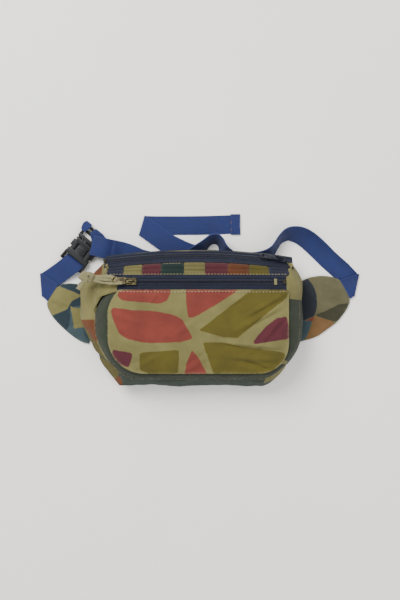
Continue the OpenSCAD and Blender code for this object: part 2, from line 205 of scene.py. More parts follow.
def canvas(name, ground, prints=(), worn=0.35):
    """Cotton canvas in a plain weave, faded and worn at its seams, with printed shapes on it."""
    s = Shader(name, Sheen_Weight=0.04, Sheen_Roughness=0.5, Specular_IOR_Level=0.2)
    colour = ground
    wobble = s.vary(s.noise(210, 3), -0.3, 0.3)
    for index, paint in enumerate(prints):
        depth = s.math("ADD", s.attribute(f"print_{index}"), wobble)
        colour = s.mix(s.remap(depth, -0.35, 0.35), colour, paint)
    cloud = s.noise(42, 4)
    colour = s.shade(colour, cloud, 0.8, 1.14, high=0.72)
    colour = s.shade(colour, s.noise(900), 0.93, 1.06)
    rubbed = s.math("MULTIPLY", s.remap(s.attribute("edge"), 0.2, 2.6, worn, 0.0),
                    s.remap(s.noise(330, 3), 0.35, 0.6))
    colour = s.mix(rubbed, colour, BARE_COTTON)
    weave = s.math("MULTIPLY", *(s.wave(s.attribute(way), YARN_PAIR) for way in ("warp", "weft")))
    # Painted shade and light: the colour is darker in the dips of the weave and lighter on its
    # raised yarns
    colour = s.shade(colour, weave, 0.93, 1.04, -1, 1)
    height = s.math("ADD", weave, s.math("MULTIPLY", s.noise(1500), 0.8))
    return s.finish(colour, s.vary(cloud, 0.8, 0.92), height, 0.00013)


def webbing(name):
    """Nylon webbing: lengthwise cords crossed by a fine herringbone."""
    s = Shader(name, Sheen_Weight=0.06, Sheen_Roughness=0.4, Specular_IOR_Level=0.25)
    along, aside = s.attribute("warp"), s.attribute("weft")
    twill = s.wave(s.math("ADD", along, s.math("PINGPONG", aside, 1.6)), 1.25)
    cord = s.wave(aside, 1.6)
    height = s.math("ADD", s.math("MULTIPLY", twill, 0.5), s.math("MULTIPLY", cord, 0.6))
    cloud = s.noise(55, 4)
    # Random tone from the cloud, then painted shade and light: darker in the grooves of the cords
    # and the herringbone, lighter on their ridges
    colour = s.shade(s.shade(WEBBING, cloud, 0.86, 1.1), height, 0.86, 1.08, -1, 1)
    fuzz = s.math("MULTIPLY", s.remap(s.attribute("edge"), 0.1, 1.6, 0.3, 0.0), s.noise(500))
    colour = s.mix(fuzz, colour, FUZZ)
    return s.finish(colour, s.vary(cloud, 0.55, 0.72), height, 0.00018)


def tape(name):
    """Zip tape: a fine flat herringbone with slight fading."""
    s = Shader(name, Sheen_Weight=0.05, Sheen_Roughness=0.4, Specular_IOR_Level=0.2)
    along, aside = s.attribute("weft"), s.attribute("warp")
    twill = s.wave(s.math("ADD", along, s.math("PINGPONG", aside, 1.1)), 0.8)
    cloud = s.noise(70, 3)
    # Random tone from the cloud, then painted shade and light: darker in the grooves of the
    # herringbone, lighter on its ridges
    colour = s.shade(s.shade(NAVY, cloud, 0.8, 1.18), twill, 0.9, 1.06, -1, 1)
    colour = s.mix(s.remap(s.noise(800), 0.64, 0.76, 0.0, 0.16), colour, LINT)
    return s.finish(colour, s.vary(cloud, 0.72, 0.86), twill, 0.00009)


def thread(name, tint):
    """Twisted sewing thread."""
    s = Shader(name, Sheen_Weight=0.2, Specular_IOR_Level=0.3)
    ply = s.noise(2600)
    colour = s.shade(tint, s.noise(300), 0.75, 1.1)
    return s.finish(colour, s.vary(ply, 0.6, 0.8), ply, 0.0001)


def metal(name):
    """Brass that has gone dull, with patches of tarnish and fine spots."""
    s = Shader(name, Metallic=0.7, Specular_IOR_Level=0.4)
    cloud, spots = s.noise(320, 4), s.noise(1400, 3)
    colour = s.mix(s.remap(cloud, 0.38, 0.66, 0.0, 0.85), BRASS, TARNISH)
    colour = s.shade(colour, spots, 0.8, 1.15)
    rough = s.remap(s.math("ADD", cloud, spots), 0.7, 1.3, 0.42, 0.7)
    return s.finish(colour, rough, spots, 0.00006)


def painted(name):
    """Navy paint on zip metal, rubbed through in spots."""
    s = Shader(name, Specular_IOR_Level=0.3)
    cloud = s.noise(300, 4)
    rubbed = s.remap(s.noise(520, 5), 0.58, 0.7, 0.0, 0.55)
    colour = s.mix(rubbed, s.shade(NAVY, cloud, 0.45, 0.8), TARNISH)
    rough = s.remap(s.math("ADD", cloud, rubbed), 0.3, 1.0, 0.3, 0.5)
    return s.finish(colour, rough, cloud, 0.00005)


def plastic(name):
    """Moulded acetal with a fine grain, scuffed in places."""
    s = Shader(name, Specular_IOR_Level=0.25)
    cloud = s.noise(160, 3)
    scuff = s.remap(s.noise(480, 5), 0.62, 0.74, 0.0, 0.1)
    colour = s.mix(scuff, s.shade(PLASTIC, cloud, 0.85, 1.2), SCUFF)
    rough = s.remap(s.math("ADD", cloud, scuff), 0.3, 1.0, 0.42, 0.64)
    return s.finish(colour, rough, s.noise(3000), 0.00005)


def inner_cloth(name, tint):
    """Material for the CAD solids that lie inside the pack."""
    s = Shader(name, True, Specular_IOR_Level=0.2)
    cells = s.noise(1200, 3)
    return s.finish(s.shade(tint, cells, 0.8, 1.1), s.vary(cells, 0.8, 0.95), cells, 0.0002)


def floor_material():
    s = Shader("floor", True, Specular_IOR_Level=0.2)
    cloud = s.noise(6, 3)
    return s.finish(s.shade(FLOOR, cloud, 0.98, 1.01), s.vary(cloud, 0.7, 0.8), cloud, 0.0001)


# ---- Meshes: a mesh is a dict of verts, faces and the floats of each vertex ----


def lengths(grid, axis):
    """Distance of each grid point from the grid's start along an axis."""
    steps = np.linalg.norm(np.diff(grid, axis=axis), axis=2)
    return np.insert(np.cumsum(steps, axis=axis), 0, 0, axis=axis)


def numbered(n, m, closed=False):
    """The vertex numbers of a grid, with its first column again at the end if it is closed."""
    numbers = np.arange(n * m).reshape(n, m)
    return np.column_stack([numbers, numbers[:, 0]]) if closed else numbers


def skin(rows):
    """Faces between rows of vertex numbers."""
    rows = np.asarray(rows)
    corners = rows[:-1, :-1], rows[:-1, 1:], rows[1:, 1:], rows[1:, :-1]
    return np.stack(corners, -1).reshape(-1, 4).tolist()


def turned(faces):
    """Faces that look the other way."""
    return [face[:1] + face[:0:-1] for face in faces]


def woven(*sets):
    """Sets of as many faces each, taken in turn."""
    return [face for group in zip(*sets) for face in group]


def shell(grid, t, flip=False, relief=None, whole=False, worn_ends=True):
    """Cloth of thickness t behind a grid. If it is whole, its last column joins its first and
    its last row is filled. relief(points, warp, weft, edge) raises the surface. Without
    worn_ends the first and the last column don't count as edges for the wear."""
    grid = np.asarray(grid, float)

    def normals(g):
        over = (np.roll(g, -1, 1) - np.roll(g, 1, 1)) / 2 if whole else np.gradient(g, axis=1)
        cross = np.cross(np.gradient(g, axis=0), over) * (-1 if flip else 1)
        return cross / np.maximum(np.linalg.norm(cross, axis=2, keepdims=True), 1e-9)

    warp, weft = lengths(grid, 0), lengths(grid, 1)
    edge = rims = warp if whole else np.minimum(warp, warp[-1:] - warp)
    if not whole:
        edge = np.minimum(edge, np.minimum(weft, weft[:, -1:] - weft))
    if relief is not None:
        grid = grid + normals(grid) * relief(grid, warp, weft, edge)[..., None]
    inner = grid - t * normals(grid)
    piece = {"verts": np.concatenate([grid.reshape(-1, 3), inner.reshape(-1, 3)])}
    for key, values in (("warp", warp), ("weft", weft), ("edge", edge if worn_ends else rims)):
        piece[key] = np.tile(values.reshape(-1), 2)
    over = numbered(*grid.shape[:2], whole)
    under = over + grid.shape[0] * grid.shape[1]
    faces, rim = woven(turned(skin(over)), skin(under)), skin([over[0], under[0]])
    if whole:
        faces += rim
        for row, way in ((over[-1], -1), (under[-1], 1)):
            centre = len(piece["verts"])
            piece = {key: np.concatenate([values, values[row[:-1]].mean(0, keepdims=True)])
                     for key, values in piece.items()}
            faces += [[*pair[::way], centre] for pair in zip(row.tolist(), row[1:].tolist())]
    else:
        faces += woven(rim, skin(np.stack([over[-1], under[-1]], 1)))
        faces += woven(skin(np.stack([over[:, 0], under[:, 0]], 1)),
                       skin([over[:, -1], under[:, -1]]))
    return {**piece, "faces": turned(faces) if flip else faces}


def bare(verts, faces, edge=9.0):
    """A mesh whose weave runs along X and Y."""
    verts = np.asarray(verts, float)
    return {"verts": verts, "faces": faces, "warp": verts[:, 0].copy(),
            "weft": verts[:, 1].copy(), "edge": np.full(len(verts), edge)}


def join(*parts):
    whole = {key: np.concatenate([p[key] for p in parts])
             for key in ("verts", "warp", "weft", "edge")}
    faces, start = [], 0
    for p in parts:
        faces += [tuple(start + k for k in face) for face in p["faces"]]
        start += len(p["verts"])
    return {**whole, "faces": faces}


def moved(piece, matrix):
    """The mesh with a 4x4 matrix applied."""
    verts = np.asarray([matrix @ Vector(v) for v in piece["verts"]])
    return {**piece, "verts": verts}


def inside_by(shape, x, y):
    """How far inside a polygon points lie, in mm; negative outside."""
    far = np.full(x.shape, 1e6)
    inside = np.zeros(x.shape, bool)
    for (ax, ay), (bx, by) in zip(shape, shape[1:] + shape[:1]):
        ex, ey = bx - ax, by - ay
        t = np.clip(((x - ax) * ex + (y - ay) * ey) / (ex * ex + ey * ey), 0, 1)
        far = np.minimum(far, np.hypot(x - ax - ex * t, y - ay - ey * t))
        level = ((ay > y) != (by > y)) & (x < ax + ex * (y - ay) / (ey if ey else 1e-9))
        inside ^= level
    return np.where(inside, far, -far)


def rounded(shape, cut=0.14, times=2):
    """A polygon with its corners cut again and again, so that they read as round."""
    for _ in range(times):
        shape = [(a[0] + (b[0] - a[0]) * f, a[1] + (b[1] - a[1]) * f)
                 for a, b in zip(shape, shape[1:] + shape[:1]) for f in (cut, 1 - cut)]
    return shape


def make(name, piece, look, body, replaced=(), prints=(), sharp=50):
    """Makes the object of a mesh. prints holds the polygons of each printed colour."""
    mesh = bpy.data.meshes.new(name)
    mesh.from_pydata((piece["verts"] * MM).tolist(), [], piece["faces"])
    x, y = piece["verts"][:, 0], piece["verts"][:, 1]
    floats = {key: piece[key] for key in ("warp", "weft", "edge")}
    for index, shapes in enumerate(prints):
        floats[f"print_{index}"] = np.max([inside_by(s, x, y) for s in shapes], axis=0)
    for key, values in floats.items():
        layer = mesh.attributes.new(key, "FLOAT", "POINT")
        layer.data.foreach_set("value", np.asarray(values, np.float32))
    rest = mesh.attributes.new("rest", "FLOAT_VECTOR", "POINT")
    rest.data.foreach_set("vector", (piece["verts"] * MM).astype(np.float32).ravel())
    mesh.validate()
    mesh.shade_smooth()
    mesh.set_sharp_from_angle(angle=math.radians(sharp))
    mesh.materials.append(LOOKS[look])
    obj = bpy.data.objects.new(name, mesh)
    bpy.context.scene.collection.objects.link(obj)
    if body:
        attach(obj, body)
    if replaced:
        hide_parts(*replaced)
    return obj


def crumple(points, size, seed, stretch=(1, 1, 1)):
    """Smooth noise from about -1 to 1 over points, with features of that size in mm."""
    flat = points.reshape(-1, 3) / (size * np.array(stretch)) + seed * 17.3
    return np.array([noise.noise(Vector(v)) for v in flat]).reshape(points.shape[:-1])


def hump(x, centre, width):
    return np.exp(-(((x - centre) / width) ** 2))


def rolled(edge, depth=1.5, width=2.6):
    """How a sewn edge turns in."""
    return -depth * np.exp(-((edge / width) ** 1.5))


def crease(points, a, b, depth, width):
    """A valley from a to b with a ridge beside it, fading out at its ends."""
    a, b = np.array(a, float), np.array(b, float)
    run = np.linalg.norm(b - a)
    along = (points[..., :2] - a) @ (b - a) / run
    aside = (points[..., :2] - a) @ np.array([a[1] - b[1], b[0] - a[0]]) / run
    fade = np.clip(along / (0.3 * run), 0, 1) * np.clip((run - along) / (0.45 * run), 0, 1)
    fade = fade * fade * (3 - 2 * fade)
    return depth * fade * (0.7 * hump(aside, 1.5 * width, width) - hump(aside, 0, width))


def spline(points, t):
    """Catmull-Rom point of a list, t counted in its steps."""
    last = len(points) - 1
    i = min(int(t), last - 1)
    f = t - i
    p0, p1, p2, p3 = (np.asarray(points[k], float)
                      for k in (max(i - 1, 0), i, i + 1, min(i + 2, last)))
    return 0.5 * (2 * p1 + (p2 - p0) * f + (2 * p0 - 5 * p1 + 4 * p2 - p3) * f * f
                  + (3 * p1 - p0 - 3 * p2 + p3) * f ** 3)


def lofted(columns, rows):
    """A grid whose columns are smooth curves through lists of points."""
    return [[spline(c, t) for c in columns] for t in np.linspace(0, len(columns[0]) - 1, rows)]


def tube(path, radii, sides=10, flat=1.0, up=(0, 0, 1)):
    """A closed tube along a path. flat squeezes it along up."""
    path = np.asarray(path, float)
    radii = np.broadcast_to(np.asarray(radii, float), (len(path),))
    verts = []
    for k, point in enumerate(path):
        forward = Vector(path[min(k + 1, len(path) - 1)] - path[max(k - 1, 0)]).normalized()
        side = forward.cross(Vector(up))
        side = side.normalized() if side.length > 1e-4 else Vector((1, 0, 0))
        top = side.cross(forward)
        for j in range(sides):
            a = 2 * math.pi * j / sides
            verts.append(Vector(point) + float(radii[k]) * (math.cos(a) * side
                                                            + flat * math.sin(a) * top))
    faces = turned(skin(numbered(len(path), sides, True)))
    faces += [list(range(sides)), list(range(len(verts) - 1, len(verts) - 1 - sides, -1))]
    piece = bare(verts, faces)
    piece["warp"] = np.repeat(lengths(path[:, None, :], 0)[:, 0], sides)
    piece["weft"] = np.tile(np.arange(sides) * 2 * math.pi / sides, len(path)) * radii.mean()
    return piece


def stitch_row(path, long=2.3, gap=1.5, thick=0.42):
    """Dashes of thread along a path."""
    path = np.asarray(path, float)
    run = lengths(path[:, None, :], 0)[:, 0]
    dashes, start = [], gap
    while start + long < run[-1]:
        spots = [start + long * f for f in (0, 0.2, 0.8, 1)]
        line = np.array([[np.interp(s, run, path[:, k]) for k in range(3)] for s in spots])
        line[[0, 3], 2] -= thick * 0.7
        dashes.append(tube(line, thick * np.array([0.5, 1, 1, 0.5]), 6))
        start += long + gap
    return join(*dashes)


def laid(path, piece, lift=0.25):
    """A path of (x, y) points laid on a mesh from above."""
    tree = BVHTree.FromPolygons(piece["verts"].tolist(), piece["faces"])
    found = []
    for x, y in path:
        hit = tree.ray_cast(Vector((x, y, 150)), Vector((0, 0, -1)))[0]
        if hit is not None:
            found.append((x, y, hit[2] + lift))
    return found


def box(low, high):
    """A box as an object."""
    bm = bmesh.new()
    bmesh.ops.create_cube(bm, size=1)
    low, high = Vector(low), Vector(high)
    for v in bm.verts:
        v.co = (low + high) / 2 + Vector(v.co[k] * (high - low)[k] for k in range(3))
    mesh = bpy.data.meshes.new("box")
    bm.to_mesh(mesh)
    bm.free()
    obj = bpy.data.objects.new("box", mesh)
    bpy.context.scene.collection.objects.link(obj)
    return obj


def solid(adds, cuts=(), bevel=0.45):
    """Boxes joined and cut by boxes, each (low, high), with bevelled edges."""
    base = box(*adds[0])
    tools = [(box(*b), "UNION") for b in adds[1:]] + [(box(*b), "DIFFERENCE") for b in cuts]
    for tool, operation in tools:
        cut = base.modifiers.new(operation, "BOOLEAN")
        cut.operation, cut.object, cut.solver = operation, tool, "EXACT"
    rim = base.modifiers.new("bevel", "BEVEL")
    rim.width, rim.segments, rim.limit_method = bevel, 2, "ANGLE"
    rim.angle_limit = math.radians(40)
    done = base.evaluated_get(bpy.context.evaluated_depsgraph_get()).to_mesh()
    piece = bare([v.co[:] for v in done.vertices], [tuple(p.vertices) for p in done.polygons])
    for obj in [base] + [tool for tool, _ in tools]:
        bpy.data.objects.remove(obj)
    return piece


# ---- The pack's outlines: (x0, x1, y0, y1, corners, z). A corner is its two radii and a power:
# 2 is round and 1 a straight cut ----

SEAM_LOW = ((48, 60, 1.6), (46, 52, 1.6))
BACK_SEAM = (-123.9, 123.9, -72, 54.1,
             ((36, 36, 1.15), (40, 75, 1.2), (42, 60, 1.4), (26, 26, 2)), 0)
BULGE = (-136.5, 134.8, -82, 82,
         ((46, 44, 1.1), (48, 85, 1.15), (50, 65, 1.45), (38, 38, 1.5)), 24)
FRONT_SEAM = (-116.5, 130.5, -73, 68, ((34, 34, 1.3), *SEAM_LOW, (36, 36, 2)), 46)
POCKET_SEAM = (-116.0, 130.0, -72.5, 38, ((20, 30, 1.25), *SEAM_LOW, (8, 8, 2)), 46.3)
PANEL_SEAM = (-98.1, 114.2, -63.5, 34, ((13, 24, 1.3), (42, 42, 2), (34, 34, 2), (5, 5, 2)), 60)
CORNER_STEPS = 6
CORNER_SPAN = CORNER_STEPS + 1
WHOLE_RING = 4 * CORNER_SPAN
# Where the bottom pieces meet the side pieces
LEFT_JOIN, RIGHT_JOIN = 10, 17


def ring(shape, u):
    """Point of an outline. u counts the steps round each corner and one more along the side
    after it, from the top left round by the bottom to the top right."""
    x0, x1, y0, y1, corners, z = shape
    corner = min(int(u // CORNER_SPAN), 3)
    part = u - CORNER_SPAN * corner
    if part > CORNER_STEPS:
        a = ring(shape, CORNER_SPAN * corner + CORNER_STEPS)
        b = ring(shape, CORNER_SPAN * ((corner + 1) % 4))
        return a + (b - a) * (part - CORNER_STEPS)
    rx, ry, power = corners[corner]
    angle = math.radians(90 + 90 * corner + 90 * part / CORNER_STEPS)
    c, n = math.cos(angle), math.sin(angle)
    return np.array([(x0 + rx if corner < 2 else x1 - rx)
                     + rx * math.copysign(abs(c) ** (2 / power), c),
                     (y0 + ry if corner in (1, 2) else y1 - ry)
                     + ry * math.copysign(abs(n) ** (2 / power), n), z])


def ring_steps(a, b, step, shape=BULGE):
    """Values of u from a to b, about step mm apart."""
    found = [a]
    while found[-1] < b - 1e-6:
        here = found[-1]
        there = min(math.floor(here + 1e-6) + 1, b)
        n = max(1, round(np.linalg.norm(ring(shape, there) - ring(shape, here)) / step))
        found += [here + (there - here) * (k + 1) / n for k in range(n)]
    return found


# ---- Zips ----

ARC_R = 600
MAIN_LEAN = math.radians(46)
MAIN_C = np.array([4.9, 75.5, 38.1])
MAIN_UP = np.array([0, math.sin(MAIN_LEAN), math.cos(MAIN_LEAN)])
MAIN_BACK = np.array([0, math.cos(MAIN_LEAN), -math.sin(MAIN_LEAN)])
MAIN_SPAN = (-10.6, 11.3)
MAIN_SLIDER_AT = 9.8
FRONT_LEAN = math.radians(21)
FRONT_C = np.array([0, 43.2, 55.8])
FRONT_X = (-88, 112)
FRONT_SLIDER_X = -71
PIN_Z = 5.4
ZIP_HALF = 9.5
MAIN_HALF = 11
TAPE_GAP = 0.6
BARTACK_X = 98


def main_zip(angle, s, h=0.0):
    """Point of the main zip: angle along its arc, s across it and h above it."""
    a, r = math.radians(angle), ARC_R + h
    return (MAIN_C + np.array([r * math.sin(a), 0, 0]) + MAIN_UP * (r * math.cos(a) - ARC_R)
            + MAIN_BACK * s)


def front_zip(x, s, h=0.0):
    """Point of the front zip: x along it, s across it and h above it."""
    c, n = math.cos(FRONT_LEAN), math.sin(FRONT_LEAN)
    return FRONT_C + np.array([x, s * c + h * n, h * c - s * n])


def tape_relief(outer_first, seed):
    """Cords that run along a tape from its outer side to its teeth."""
    def relief(p, warp, weft, edge):
        s = np.abs(warp - (0 if outer_first else warp.max()))
        cords = 0.5 * hump(s, 3.6, 0.9) + 0.8 * hump(s, 7.0, 1.1)
        wave = 0.35 * crumple(p, 26, seed, (1, 3, 3))
        return cords - 0.5 * hump(s, 5.2, 0.7) + wave * np.clip(edge / 2, 0, 1)
    return relief


def zip_tape(point, xs, s0, s1, outer_first, seed):
    grid = [[point(x, s0 + (s1 - s0) * k / 16, 0.4) for x in xs] for k in range(17)]
    return shell(grid, 0.8, True, tape_relief(outer_first, seed))


def coil(point, xs, per):
    """Two rows of a nylon coil. per is how far apart its turns are in the units of xs."""
    turns = []
    for side in (-1, 1):
        x = xs[0] + per / 2 * (side > 0)
        while x < xs[-1]:
            line = [point(x, side * s, h) for s, h in
                    ((0.75, 1.0), (0.8, 1.7), (1.7, 1.95), (2.6, 1.7), (2.75, 0.9))]
            turns.append(tube(line, 0.42, 6, up=(1, 0, 0)))
            x += per
    return join(*turns)


def make_zips():
    angles = np.linspace(*MAIN_SPAN, 112)
    xs = np.linspace(*FRONT_X, 100)
    for name, point, span, half, side, seed in (
            ("main_zip_tape_back", main_zip, angles, MAIN_HALF, 1, 3),
            ("main_zip_tape_front", main_zip, angles, MAIN_HALF, -1, 4),
            ("front_zip_tape_upper", front_zip, xs, ZIP_HALF, 1, 5),
            ("front_zip_tape_lower", front_zip, xs, ZIP_HALF, -1, 6)):
        piece = zip_tape(point, span, *sorted((side * TAPE_GAP, side * half)), side < 0, seed)
        make(name + "_cloth", piece, "tape", "pack", [name])
    for zip_name, piece in (("main", coil(main_zip, (-10.4, 11.1), 0.16)),
                            ("front", coil(front_zip, (-87, 110), 1.6))):
        make(zip_name + "_zip_coil", piece, "coil", "pack",
             [zip_name + "_zip_teeth"])
    arch = ((-3.8, 2.2), (0, 2.9), (3.8, 2.2))
    bar = [tube([front_zip(BARTACK_X + 0.5 * k, s, h) for s, h in arch], 0.42, 6)
           for k in range(6)]
    make("bartack", join(*bar), "khaki_thread", "pack", ["zip_bartack"])


def slider_piece():
    """A zip slider at the origin: two plates, a neck, a keyed crown and a bridge."""
    half_l, half_w = 6, 4.5
    adds = [((-half_l, -half_w, 2.4), (half_l, half_w, 4.0)),
            ((-half_l, -half_w, -2.4), (half_l, half_w, -1.0)),
            ((-2, -0.3, -1.2), (4, 0.3, 2.6)),
            ((-3.4, -1, 3.8), (-2.2, 1, 7.2)), ((2.2, -1, 3.8), (3.4, 1, 7.2)),
            ((-3.4, -1, 6.4), (3.4, 1, 7.4)),
            ((-5.0, -half_w, 1.5), (-4.2, -3.6, 2.6)), ((-5.0, 3.6, 1.5), (-4.2, half_w, 2.6))]
    return solid(adds, (), 0.3)


def pull_piece():
    """A pull that lies towards -X from its pin, with a slot for the strip of cloth."""
    adds = [((-26, -4.4, -0.6), (-6.8, 4.4, 0.6)), ((-7.2, -3.4, -0.6), (0, -2, 0.6)),
            ((-7.2, 2, -0.6), (0, 3.4, 0.6)), ((-12, -3.0, -0.9), (-8, 3.0, 0.9))]
    cuts = [((-23.6, -2.4, -4), (-21, 2.4, 4))]
    pin = tube([(0, -3.4, 0), (0, -1, 0), (0, 1, 0), (0, 3.4, 0)], 0.6, 12)
    return join(solid(adds, cuts, 0.3), pin)


def front_matrix(x, z=0.0):
    """From a zip part's own axes to the front zip at x."""
    place = Matrix.Translation(Vector(front_zip(x, 0, z)))
    return place @ Matrix.Rotation(-FRONT_LEAN, 4, "X")


def main_matrix(angle, z=0.0):
    place = Matrix.Translation(Vector(main_zip(angle, 0, z)))
    turn = Matrix.Rotation(-MAIN_LEAN, 4, "X") @ Matrix.Rotation(math.radians(angle), 4, "Y")
    return place @ turn


def make_sliders():
    slider, pull = slider_piece(), pull_piece()
    for name, piece, matrix, look, slot in (
            ("front_slider", slider, front_matrix(FRONT_SLIDER_X), "brass", "aged_brass"),
            ("front_pull", pull, front_matrix(FRONT_SLIDER_X, PIN_Z), "brass", "aged_brass"),
            ("main_slider", slider, main_matrix(MAIN_SLIDER_AT), "painted", "zip_teeth"),
            ("main_pull", pull, main_matrix(MAIN_SLIDER_AT, PIN_Z), "painted", "zip_teeth")):
        make(name + "_metal", moved(piece, matrix), look, name, [name], sharp=35)


def make_strip():
    """The strip of cloth through the front pull: its strands, a double knot and two ends."""
    def strand(points, wide, flat):
        steps = np.linspace(0, len(points) - 1, 24)
        line = np.array([spline(points, t) for t in steps])
        swell = wide * (1 + 0.14 * np.sin(steps * 4.1) + 0.08 * np.sin(steps * 9.3))
        return tube(line, swell, 14, flat)

    def loop(centre, rx, ry, tilt, turn, wide):
        spin = Matrix.Rotation(turn, 4, "Z") @ Matrix.Rotation(tilt, 4, "X")
        line = [Vector(centre) + spin @ Vector((rx * math.cos(a), ry * math.sin(a), 0))
                for a in np.linspace(0, 2 * math.pi, 30)]
        return tube(line, wide, 12, 0.62, up=spin @ Vector((0, 0, 1)))

    parts = [
        strand([(-21, 2.6, 1.4), (-25, 4.2, 2.2), (-31, 4.6, 1.9), (-37, 4.2, 1.4), (-45, 4.2, 1)],
               2.3, 0.5),
        strand([(-10, -3.6, 1.4), (-18, -4.4, 1.5), (-26, -4.2, 1.4), (-35, -2.8, 1),
                (-45, 0.6, 0.6)], 1.5, 0.6),
        strand([(-22, 0, -1.6), (-24.5, 0.6, 0.4), (-30, 1, 1.2), (-37, 1.6, 0.9),
                (-46, 3, 0.6)], 2.2, 0.45),
        loop((-45, 2.6, 1.8), 2.6, 3.8, 1.15, 0.5, 2.0),
        loop((-49.5, 3.2, 2.2), 3.0, 4.8, 0.9, -0.5, 2.5),
        loop((-54.5, 4.6, 1.0), 4.0, 3.8, 0.6, 0.4, 2.6),
        loop((-51, 5.0, 1.6), 5.0, 2.8, 0.4, 0.25, 2.4),
        strand([(-53, 1.5, 0.2), (-56.5, -1.2, -1.0), (-59.5, -5.4, -1.5), (-62.5, -10.6, -1.3)],
               2.9, 0.35),
        strand([(-56, 6, 0.2), (-59.5, 5.8, -1.2), (-62, 3.2, -2.2)], 2.5, 0.45),
    ]
    # High enough to clear the zip when the slider is at its far end
    piece = moved(join(*parts), front_matrix(FRONT_SLIDER_X, PIN_Z + 0.6))
    smooth = piece["verts"]
    piece["verts"] = smooth + 0.35 * crumple(smooth, 3.4, 8)[:, None]
    piece["edge"] = np.abs(crumple(smooth, 4, 9)) * 6
    make("knotted_strip", piece, "strip", "front_pull", ["pull_strip"],
         sharp=80)


# ---- Printed shapes, as polygons seen from above ----

PANEL_BRICK = [
    rounded([(-85, 34), (-23, 36), (-28, 22), (-37, 18), (-60, 20), (-82, 22), (-87, 27)]),
    rounded([(-7, 37), (58, 36), (34, 20), (3, 2), (-4, 2), (-6, 19)]),
    rounded([(-92.5, 14), (-69.5, 10.5), (-45, 10), (-20, 5), (-11, 0), (-5.5, -9), (2, -23),
             (-14, -27), (-53, -28), (-76, -23), (-85, -17), (-91, -4), (-95, 9)]),
    rounded([(0.5, -36), (9, -46), (19, -66), (-9, -68), (-6, -52)], 0.1)]
PANEL_MUSTARD = [
    rounded([(73, 36), (116, 36), (112, 25), (91, 9), (70, -9), (54, -22), (37, -21), (9, -13),
             (22.5, -2.5), (45.5, 15.5)], 0.05),
    rounded([(-61, -39), (-15, -36), (-14.5, -47), (-16, -64), (-48, -65), (-60.5, -60)], 0.08),
    rounded([(13, -27), (37, -27), (59, -32), (108, -39), (111, -44), (95, -64), (26, -65),
             (21, -50)], 0.08)]
PANEL_MAROON = [
    rounded([(100, 1.5), (112.5, 3), (116, -23), (95, -26), (73, -29), (73, -25), (86.5, -9)],
            0.1),
    rounded([(-92, -36), (-69.5, -39.5), (-70, -47), (-74.5, -57), (-86, -52), (-94, -40)], 0.1)]
LEFT_RUST = [[(-146, -1.5), (-113, -1), (-113, -28), (-120, -24), (-135, -4)],
             [(-128, 52), (-121, 71), (-113, 81), (-109, 66), (-108, 53)]]
LEFT_MUSTARD = [[(-146, -1.5), (-136, -2), (-120, -24), (-113, -28), (-98, -60), (-112, -82),
                 (-146, -60)]]
RIGHT_GREY = [[(108, 27), (128, 24), (145, 17), (145, -90), (100, -90)]]
RIGHT_DARK = [[(96, -40), (140, -34), (140, -90), (90, -90)]]
BOTTOM_MUSTARD = [[(-125, -40), (-86, -58), (-88, -67), (-93, -75), (-92, -90), (-125, -90)]]
BOTTOM_RUST = [[(-93.5, -75), (-88.5, -68), (-84.5, -72), (-84, -90), (-92, -90)]]
BOTTOM_KHAKI = [[(92, -62), (116, -44), (124, -56), (104, -72), (86, -78)]]
BAND_RIGHT_GREY = [[(104, 25), (136, 22), (136, -60), (112, -50), (104, -40)]]
LEFT_WING_DARK = [
    rounded([(-172, 48), (-132, 48), (-132, 28), (-141, 29.5), (-149, 33.4), (-163, 39)], 0.1),
    rounded([(-178, 2), (-155.3, 10.5), (-149, 21.5), (-140, 26.5), (-130, 28), (-130, 16),
             (-141, 15.5), (-147.5, 14), (-152, 9.5), (-151, 4), (-152, -8), (-158, -18),
             (-176, -8)], 0.12)]
LEFT_WING_KHAKI = [
    rounded([(-167, 40), (-149, 33.4), (-140, 29.5), (-134, 30), (-134, 27), (-140, 26),
             (-149, 21.5), (-155.3, 10.5), (-178, 1.5), (-190, 16)], 0.06),
    rounded([(-151.5, 15.2), (-146, 13), (-134, 12), (-134, -11.5), (-141, -11.7),
             (-146.7, -13.5), (-148.5, 2)], 0.1)]
RIGHT_WING_NAVY = [rounded([(120, 60), (141.8, 52), (150.6, 41), (154.6, 29.5), (155.3, 15.2),
                            (152.2, 2.4), (137.8, -3.2), (120, -2)], 0.12)]
RIGHT_WING_BRICK = [[(141, -3.6), (152.2, 2.4), (150.6, -3), (147, -4.5), (139, -4)]]
RIGHT_WING_TEAL = [[(120, -3), (149, -3.4), (146, -14), (142, -24), (134, -34), (120, -34)]]
RIGHT_WING_SAND = [rounded([(152.2, 3.2), (178, -5), (175, -16), (150, -32), (139, -32),
                            (145, -18), (149, -8)], 0.08)]
RIGHT_WING_DEEP = [rounded([(152, 3.5), (166, 9), (182, 17), (206, 20), (204, 4), (178, -5)],
                           0.1)]

# ---- Front panel ----


def seam_points(shape, step):
    return np.array([ring(shape, u) for u in ring_steps(0, WHOLE_RING, step, shape)[:-1]])


def disc(seam, middle, shares, rise, t, flip, relief):
    """Cloth inside a seam, in rings that close in on its middle. rise(share) lifts a ring."""
    rows = [middle + (seam - middle) * (k, k, 1) + (0, 0, rise(k)) for k in shares]
    piece = shell(rows, t, flip, relief, True)
    piece["warp"], piece["weft"] = piece["verts"][:, 0].copy(), piece["verts"][:, 1].copy()
    return piece


